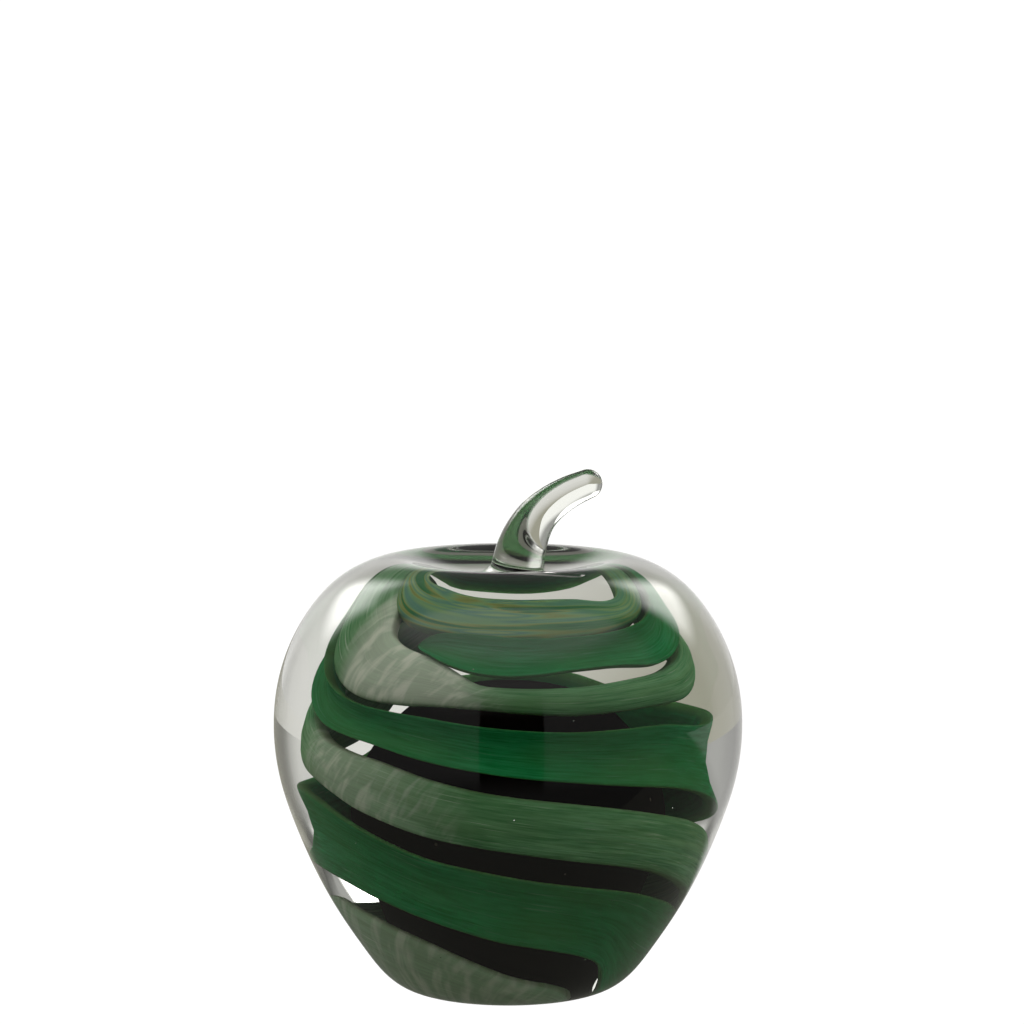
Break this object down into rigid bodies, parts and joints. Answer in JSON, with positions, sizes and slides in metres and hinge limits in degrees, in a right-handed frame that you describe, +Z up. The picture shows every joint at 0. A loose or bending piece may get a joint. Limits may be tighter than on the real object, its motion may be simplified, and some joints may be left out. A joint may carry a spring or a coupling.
{
  "type": "glass apple paperweight",
  "caption": "Solid clear glass apple ornament: light and dark green ribbons wound round a black heart inside, a dimpled crown, a curved clear stem and a flat base to stand on.",
  "frame": {"origin": "middle of the flat ground base, on the surface that the apple stands on", "axes": "+Z up along the axis that the apple is turned on, +X towards the side that the stem leans to, -Y towards the viewer"},
  "size_m": [0.1, 0.1, 0.1114],
  "materials": {
    "clear_glass": "polished",
    "stem_glass": "polished",
    "black_glass": "gloss",
    "light_green_glass": "gloss",
    "dark_green_glass": "gloss"
  },
  "bodies": {
    "root": {"clear_casing": "clear_glass", "clear_gather": "clear_glass", "black_heart": "black_glass", "light_green_ribbon": "light_green_glass", "dark_green_ribbon": "dark_green_glass", "stem": "stem_glass"}
  },
  "joints": []
}
